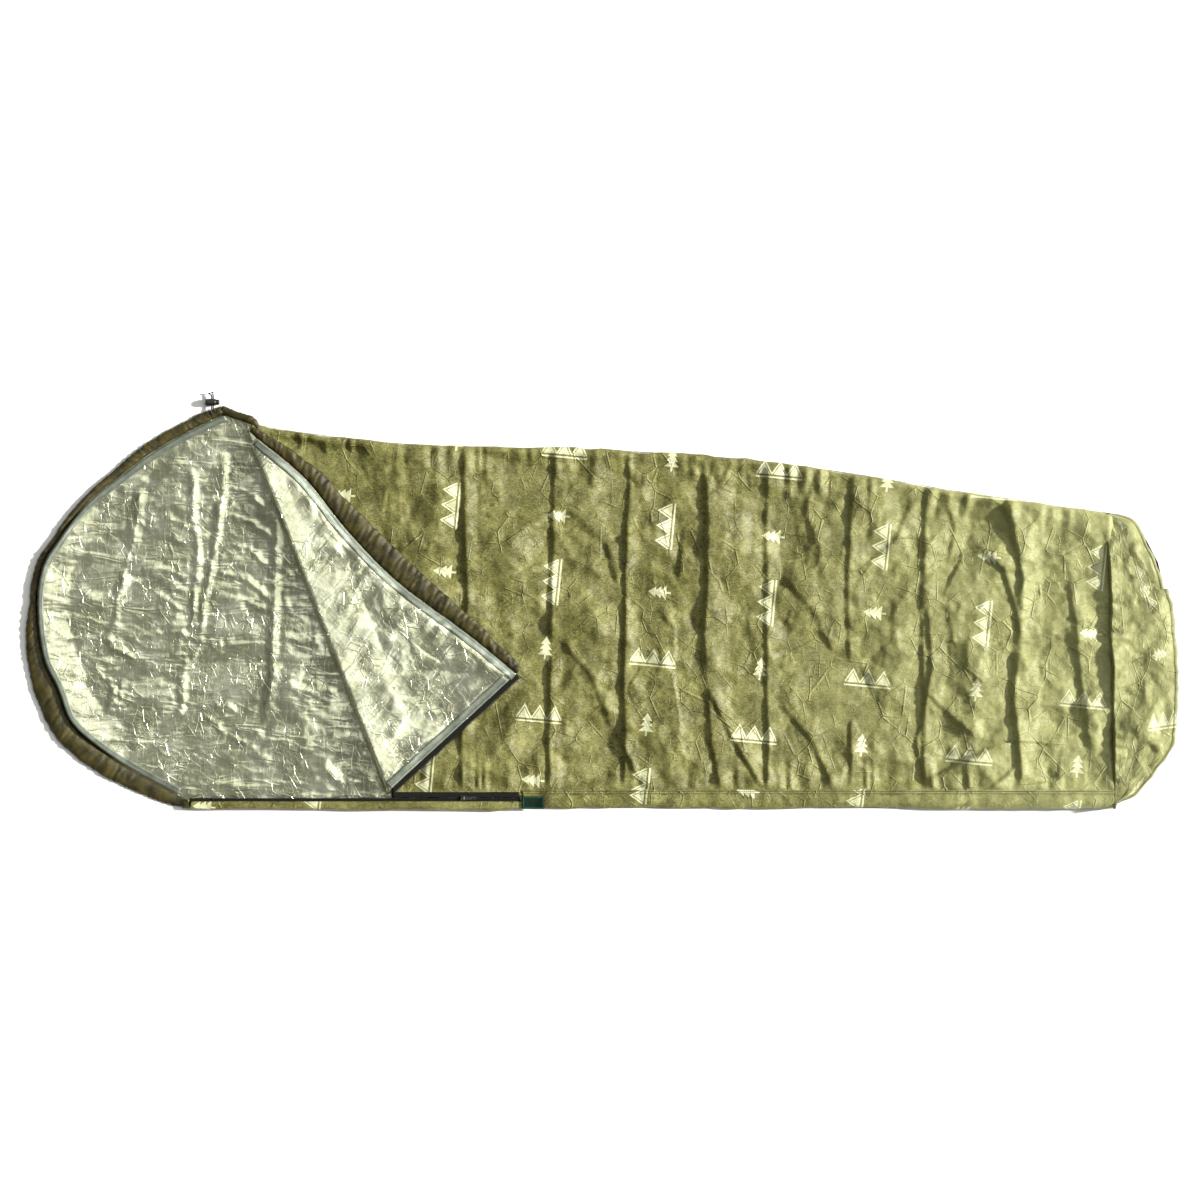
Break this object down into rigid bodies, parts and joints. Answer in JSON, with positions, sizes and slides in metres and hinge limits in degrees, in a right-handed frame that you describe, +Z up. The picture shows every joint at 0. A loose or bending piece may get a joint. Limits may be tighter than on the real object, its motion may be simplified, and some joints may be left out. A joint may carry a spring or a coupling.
{
  "type": "bivy sack",
  "caption": "Mummy-shaped emergency bivy sack laid flat, with a silver lining, a drawcord hood, a boxed foot and a side-zipped face flap folded open.",
  "frame": {"origin": "on the ground under the middle of the sack's plan", "axes": "+X from the hood to the foot, +Y from the zipped side to the folded side, +Z up"},
  "size_m": [2.1364, 0.7732, 0.061],
  "materials": {
    "shell": "matte spunbond laminate, olive green, printed with small pale motifs",
    "shell_light": "matte spunbond laminate, lighter olive green",
    "lining": "crumpled metallised film, silver",
    "channel": "thin shiny woven nylon, dark olive brown, gathered",
    "tape": "woven seam tape, grey",
    "zip_tape": "woven polyester tape, black",
    "zip_coil": "nylon coil, black",
    "zip_metal": "satin nickel plate",
    "label": "satin label tape, dark green, blank",
    "cord": "round braided cord, black",
    "cord_lock": "moulded acetal, black, satin",
    "spring": "bright spring wire",
    "thread": "bar-tacked thread, black"
  },
  "bodies": {
    "sack": {"back_panel": "lining", "front_panel": "shell", "far_side_fold": "shell", "near_side_wall": "shell", "side_seam": "shell", "foot_gusset": "shell_light", "foot_end_panel": "shell_light", "foot_front_seam": "shell_light", "foot_end_seam": "shell_light", "hood_channel": "channel", "far_corner_channel": "channel", "hood_seam_tape": "tape", "hood_end_tack": "thread", "hood_crown_tack": "thread", "zip_tape_back": "zip_tape", "zip_coil_back": "zip_coil", "zip_tape_front": "zip_tape", "zip_coil_front": "zip_coil", "zip_top_stop_back": "zip_metal", "zip_bottom_stop": "zip_metal", "label_tab": "label", "drawcord_hood": "cord", "drawcord_corner": "cord", "cord_knots": "cord", "cord_exit_patch": "tape"},
    "flap": {"front_flap": "lining", "flap_channel": "channel", "flap_head_tape": "tape", "flap_zip_binding": "tape", "zip_tape_flap": "zip_tape", "zip_coil_flap": "zip_coil", "zip_top_stop_flap": "zip_metal", "drawcord_flap": "cord", "flap_end_tack": "thread"},
    "slider": {"zip_slider": "zip_metal"},
    "pull": {"zip_pull": "zip_metal"},
    "cord_lock": {"cord_lock_barrel": "cord_lock", "cord_lock_spring": "spring"},
    "plunger": {"cord_lock_plunger": "cord_lock"}
  },
  "joints": [
    {"name": "flap_fold", "type": "hinge", "parent": "sack", "child": "flap", "pos_m": [-0.393, -0.355, 0.01625], "axis": [0.3628, -0.9319, 0], "range_deg": [0, 180]},
    {"name": "zip_slide", "type": "slide", "parent": "sack", "child": "slider", "axis": [-1, 0, 0], "range_m": [0, 0.456]},
    {"name": "pull_swing", "type": "hinge", "parent": "slider", "child": "pull", "pos_m": [-0.256, -0.36, 0.0195], "axis": [0, -1, 0], "range_deg": [0, 170]},
    {"name": "cord_lock_slide", "type": "slide", "parent": "sack", "child": "cord_lock", "axis": [0, 1, 0], "range_m": [0, 0.004]},
    {"name": "plunger_press", "type": "slide", "parent": "cord_lock", "child": "plunger", "axis": [-1, 0, 0], "range_m": [0, 0.003], "stiffness_N_per_m": 300, "springref_m": -0.003, "deforming": ["cord_lock_spring"]}
  ]
}
